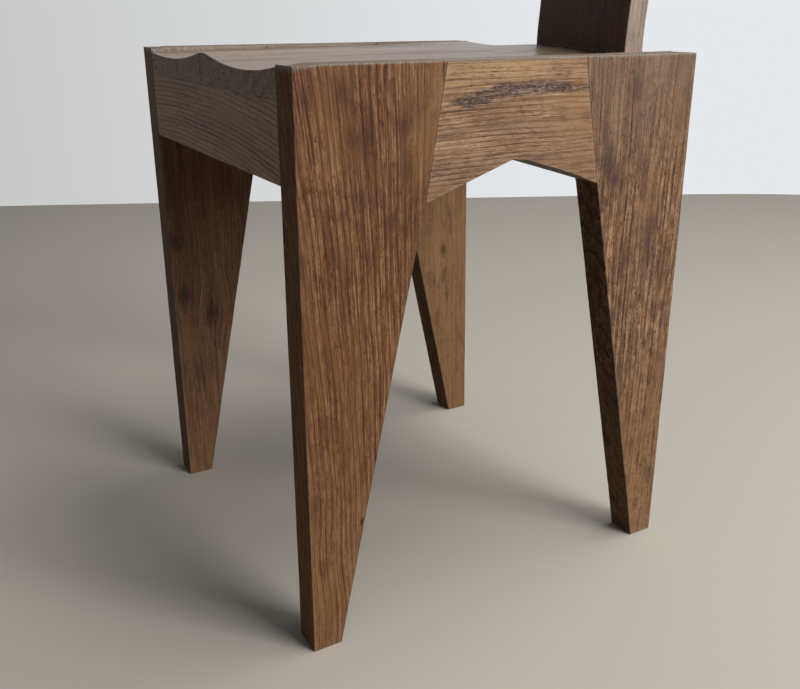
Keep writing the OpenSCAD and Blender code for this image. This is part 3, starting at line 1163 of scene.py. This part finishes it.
def seat_top(x, y):
    """The height of the carved seat at x, y. A hollow is the parabola that fits its arc, and it
    rises in a straight line to the back."""
    away = np.abs(x) - hollow_x
    right_outer = (x < 0) & (away > 0)
    bend = np.where(right_outer, flat_hollow_r, hollow_r)
    hollow = -hollow_depth + away**2 / (2 * bend) + hollow_loss * (y - front_y) / (rear_y - front_y)
    flat = ridge_proud * ramp(np.abs(x), 60, 20) * ramp(y, rear_y - 60, front_y + 60)
    return seat_h + softer_low(hollow, flat, scraped_w) + dip_spare


probe = seat_h - seat_top(np.full(2, hollow_x), np.array([front_y, rear_y]))
print("hollows are", probe.round(1).tolist(), "mm deep at the front and the back")

# %% [markdown]
# ## Wear of the seat
# The front arris is painted pale grey as a highlight, and a warm shade lies over all but the seat's rear. The
# glued joints have opened a little at the front and taken up dirt, and the end grain on the left still shows
# the slanted dark strokes of a coarse saw.

# %% Wear of the seat

STROKE_SLOPE = math.radians(28)
STROKE_STEP = 11.0
LINE_HALF = 1.7


def rough_strokes(points):
    """The dark strokes of a coarse saw in the end grain at the seat's left front, 0 to 1:
    slanted lines a STROKE_STEP apart, broken up by unevenness."""
    x, y, z = points.T
    across = z * math.cos(STROKE_SLOPE) - x * math.sin(STROKE_SLOPE)
    off_line = np.abs(across / STROKE_STEP - np.round(across / STROKE_STEP)) * STROKE_STEP
    lines = np.exp(-((off_line / LINE_HALF) ** 2)) * ramp(x, 70, 110)
    return lines * ramp(unevenness(points, (14, 14, 9), 77), -0.6, 0.1)


def seat_wear(points, low, high, seam):
    """The wear values of a seat board from low to high. front is 1 on its end grain, and under
    is how far a point lies below the carved surface, as a negative number."""
    x, y, z = points.T
    under = z - seat_top(x, y)
    front = ramp(y, front_y + 2, front_y + 0.5)
    beside = np.minimum(x - low[0], high[0] - x)
    opened = 6.0 * front * np.exp(-((beside / LINE_HALF) ** 2)) * ramp(x, 110, 60)
    return {
        # A painted highlight along the front arris.
        "greyed": 0.9 * ramp(y, front_y + 2.2, front_y + 0.5) * ramp(under, -1.6, -0.5),
        "bleach": 0.85 * front * ramp(under, -1.0, -3.0),
        "seam": np.maximum(seam, opened) * ramp(z, seat_under + 1, seat_under + 3),
        "knot": 0.7 * front * rough_strokes(points),
        "stain": 0.35 * ramp(under, -3, -1) * ramp(y, 110, 30),
    }


print("saw strokes are", STROKE_STEP, "mm apart")

# %% [markdown]
# ## Making the seat boards
# Each board reaches from the flat underside to the carved surface. All four ask the same
# function for their top, so they meet without a step, as boards do that were carved together.

# %% Make the seat boards

GRID_STEP = 2.6
# Each board's heart and lean in the log, from the sitter's right to the left.
SEAT_LOGS = [
    ((62, 18, 100), 0.03), ((44, -20, 420), 0.05), ((30, 6, 800), 0.01), ((-40, 69, 1300), -0.04),
]


def seat_board(low, high):
    """The side lengths and the placing function of a seat board: s goes back, t along X, u up."""
    across = high[0] - low[0]
    depth = rear_y - front_y

    def over(s, t):
        return low[0] + t * across, front_y + s * depth

    def lengths(s, t, u):
        return np.full_like(s, depth), np.full_like(s, across), seat_top(*over(s, t)) - seat_under

    def place(s, t, u):
        x, y = over(s, t)
        return np.stack([x, y, seat_under + u * (seat_top(x, y) - seat_under)], 1)

    return lengths, place


for k, (heart, lean) in enumerate(SEAT_LOGS):
    node, seed = f"seat_board_{k + 1}", 101 + 7 * k
    low, high = span(node)
    lines = (even(120), even(round((high[0] - low[0]) / GRID_STEP)), even(8))
    radii = dict(s0=0.7, s1=1.0, t0=0.22, t1=0.22, u0=TIGHT, u1=0.7)
    points, quads, fields = worn_board(node, lines, *seat_board(low, high), radii, seed)
    fields.update(seat_wear(points, low, high, fields["seam"]))
    tree = in_log(points, (0, 1, 0), (1, 0, 0), (low + high) / 2, heart, lean, seed=seed)
    make_piece(node + "_worn", points, quads, fields, tree, seat_wood, node)

# %% [markdown]
# ## The back board
# One upright board stands on the seat's rear edge. Its foot is scribed to the hollow, it rises
# straight for a few millimetres and then leans back. The lean is a parabola that turns into a
# straight line, as in the CAD model.

# %% Back board

# The board's thickness, and the heights over the seat between which it bends into its lean.
back_t = 20.5
lean_start = 4.0
lean_end = 22.0
lean_slope = math.tan(math.radians(4.5))
back_low, back_high = span("back_board")
back_w = back_high[0] - back_low[0]


def lean_at(h):
    """How far the board has leant back at height h over the seat."""
    bend = lean_slope * (h - lean_start) ** 2 / (2 * (lean_end - lean_start))
    straight = lean_slope * (h - (lean_start + lean_end) / 2)
    return np.where(h < lean_start, 0, np.where(h < lean_end, bend, straight))


def back_place(s, t, u):
    """s goes up from the seat's surface, t along X and u from the front face to the rear."""
    x = back_low[0] + t * back_w
    y = rear_y - back_t + u * back_t
    foot = seat_top(x, y)
    z = foot + s * (back_high[2] - foot)
    return np.stack([x, y + lean_at(z - seat_h), z], 1)


def back_lengths(s, t, u):
    """The board's height above the seat, width and thickness."""
    return tuple(np.full_like(s, v) for v in (back_high[2] - seat_h, back_w, back_t))


back_lines = (stations((0, 0.1, 1), (24, 96)), even(44), even(8))
radii = dict(s0=0.2, s1=1.3, t0=0.9, t1=0.9, u0=0.9, u1=0.9)
points, quads, fields = worn_board("back_board", back_lines, back_lengths, back_place, radii, 151)
# A painted highlight along the board's left edge.
painted_edge_highlight = ramp(points[:, 0], back_high[0] - 1.5, back_high[0] - 0.2)
fields.update(greyed=0.3 * painted_edge_highlight, bleach=1.15 * painted_edge_highlight)
tree = in_log(points, (0, 0, 1), (1, 0, 0), (back_low + back_high) / 2, (54, 16, 0), 0.03, seed=151)
make_piece("back_board_worn", points, quads, fields, tree, back_wood, "back_board")

# %% [markdown]
# ## The dowels
# The dowels sit inside the glued joints. They are plain cylinders, and their CAD shape is right,
# so they keep it and only get their finish.

# %% Finish of the dowels
for node in ("frame_dowels", "seat_dowels"):
    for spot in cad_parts[node].material_slots:
        spot.material = dowel_wood
    print(node, "has the finish", dowel_wood.name)

# %% [markdown]
# ## A plain room
# A flat pale floor ends at an upright pale wall, which shows the chair's shape and little else.
# Both are turned round the chair from a profile, so that they lie behind it from every side.

# %% The shape of the room

ROOM_HALF = 1.55
WALL_H = 3.0
# The room is turned, so that its far side lies nearly square to the view.
ROOM_TURN = math.radians(-24.8)
CORNER_POWER = 8


def turned(name, profile, material):
    """A surface round Z from a profile of (radius, height) points in metres. Its plan is a
    square with well rounded corners, r = (|cos|^8 + |sin|^8)^(-1/8)."""
    radius, height = np.array(profile).T
    angle = np.linspace(0, 2 * np.pi, 240, endpoint=False)
    squarish = np.abs(np.cos(angle)) ** CORNER_POWER + np.abs(np.sin(angle)) ** CORNER_POWER
    squarish = squarish ** (-1 / CORNER_POWER)
    angle = angle + ROOM_TURN
    rings = [np.outer(radius, squarish * np.cos(angle)), np.outer(radius, squarish * np.sin(angle)),
             np.outer(height, np.ones_like(angle))]
    points = np.stack(rings, -1).reshape(-1, 3)
    ids = np.arange(len(points)).reshape(len(radius), -1)
    after = np.roll(ids, -1, axis=1)
    quads = np.stack([ids[:-1], ids[1:], after[1:], after[:-1]], -1).reshape(-1, 4)
    mesh = bpy.data.meshes.new(name)
    mesh.from_pydata(points, [], quads)
    mesh.materials.append(material)
    thing = bpy.data.objects.new(name, mesh)
    bpy.context.scene.collection.objects.link(thing)
    print(name, "reaches", radius.max(), "m out and", height.max(), "m up")


print("the room is", 2 * ROOM_HALF, "m wide")

# %% [markdown]
# ## The floor
# Matt paint, rolled on: dull, even and without a mirror image. It keeps the chair's shadow. For
# bounced light it is darker than it looks, so the chair's undersides and front faces stay in
# deep shade while the floor itself stays pale.

# %% The floor


def seen(material):
    """1 for what the camera sees, straight or in a mirror or glass, and 0 for bounced light."""
    straight = add(material, "LightPath", out="Is Camera Ray")
    mirrored = add(material, "LightPath", out="Is Glossy Ray")
    through = add(material, "LightPath", out="Is Transmission Ray")
    either = add(material, "Math", straight, mirrored, operation="MAXIMUM")
    return add(material, "Math", either, through, operation="MAXIMUM")


floor_paint, floor_shader = new_material("matt_painted_floor")
floor_shader.inputs["Roughness"].default_value = 0.9
floor_colours = {6: linear("#8B867D"), 7: linear("#C3BCB1")}
floor_colour = add(floor_paint, "Mix", seen(floor_paint), links=floor_colours, **LAYER)
floor_paint.node_tree.links.new(floor_colour, floor_shader.inputs["Base Color"])
turned("pale_floor", [(0, 0), (0.5, 0), (1.0, 0), (ROOM_HALF, 0)], floor_paint)

# %% [markdown]
# ## The wall
# A matt painted wall, whose glow is painted light, paler at the rear, where the window light stands. A real
# wall would bounce light onto the chair, and lamps strong enough to make it white would bleach the wood. So
# this one glows only for what the camera sees, straight or in a mirror or glass, and lets all other light
# through.

# %% The wall

wall_paint, _ = new_material("matt_painted_wall")
wall_place = add(wall_paint, "TexCoord", out="Object")
to_the_rear = add(wall_paint, "SeparateXYZ", wall_place, out="Y")
# Painted window light: the wall glows paler towards the rear.
shade = add(wall_paint, "MapRange", to_the_rear, -0.5, 1.5, **SMOOTH)
wall_colours = {6: linear("#C6C7C5"), 7: linear("#E6E9EC")}
wall_colour = add(wall_paint, "Mix", shade, links=wall_colours, **LAYER)
glow = add(wall_paint, "Emission", wall_colour, 1.0)
clear = add(wall_paint, "BsdfTransparent")
wall_face = add(wall_paint, "MixShader", seen(wall_paint), clear, glow)
wall_tree = wall_paint.node_tree
wall_tree.links.new(wall_face, wall_tree.nodes["Material Output"].inputs["Surface"])
turned("pale_wall", [(ROOM_HALF, 0), (ROOM_HALF, WALL_H)], wall_paint)

# %% [markdown]
# ## Lamps and world
# The main lamp is large and stands behind the chair at its left, as a window would, so that the
# side faces are lit and the front faces lie in soft shade. A second one overhead lights the tops.
# Small lamps would cast hard shadows, so both are wide, and the world adds a little light from
# everywhere.

# %% Lamps and world

world = bpy.data.worlds.new("soft_room")
world.use_nodes = True
world.node_tree.nodes["Background"].inputs["Color"].default_value = linear("#EEF0F4")
world.node_tree.nodes["Background"].inputs["Strength"].default_value = 0.10
bpy.context.scene.world = world


def lamp(name, place, target, size, watts, tone):
    """A square soft lamp at a place, facing a target. Its turns are the angles of the line from
    the place to the target."""
    data = bpy.data.lights.new(name, "AREA")
    data.shape = "SQUARE"
    data.size = size
    data.energy = watts
    data.color = linear(tone)[:3]
    thing = bpy.data.objects.new(name, data)
    bpy.context.scene.collection.objects.link(thing)
    thing.location = place
    direction = np.array(target) - np.array(place)
    turn_z = math.atan2(direction[1], direction[0]) - math.pi / 2
    down = math.atan2(direction[2], math.hypot(direction[0], direction[1]))
    thing.rotation_euler = (math.pi / 2 + down, 0, turn_z)
    print(name, "of", watts, "W stands", round(float(np.linalg.norm(direction)), 2), "m away")


lamp("window_light", (2.25, 1.1, 1.35), (0, 0, 0.3), 1.3, 54, "#FFFFFF")
lamp("ceiling_light", (0.5, 0.9, 2.7), (0, 0.1, 0), 1.8, 44, "#FFFFFF")

# %% [markdown]
# ## The camera
# The chair is looked at from close by, from its left and a little from the front, at about the
# height of the seat. So near, the front legs look clearly larger than the rear ones. The turns
# are given as plain angles, because a tracking constraint would fight with other views.

# %% Camera

camera_data = bpy.data.cameras.new("camera")
camera_data.sensor_width = 36.0
camera_data.lens = 39.2
camera = bpy.data.objects.new("camera", camera_data)
camera.location = (0.7041, -0.4101, 0.4815)
look_down = 20.97
camera.rotation_euler = (math.radians(90 - look_down), 0, math.radians(60.33))
bpy.context.scene.collection.objects.link(camera)
bpy.context.scene.camera = camera
bpy.context.scene.view_settings.view_transform = "Standard"
place = [round(v, 3) for v in camera.location]
print("camera at", place, "metres, looking down by", look_down, "degrees")
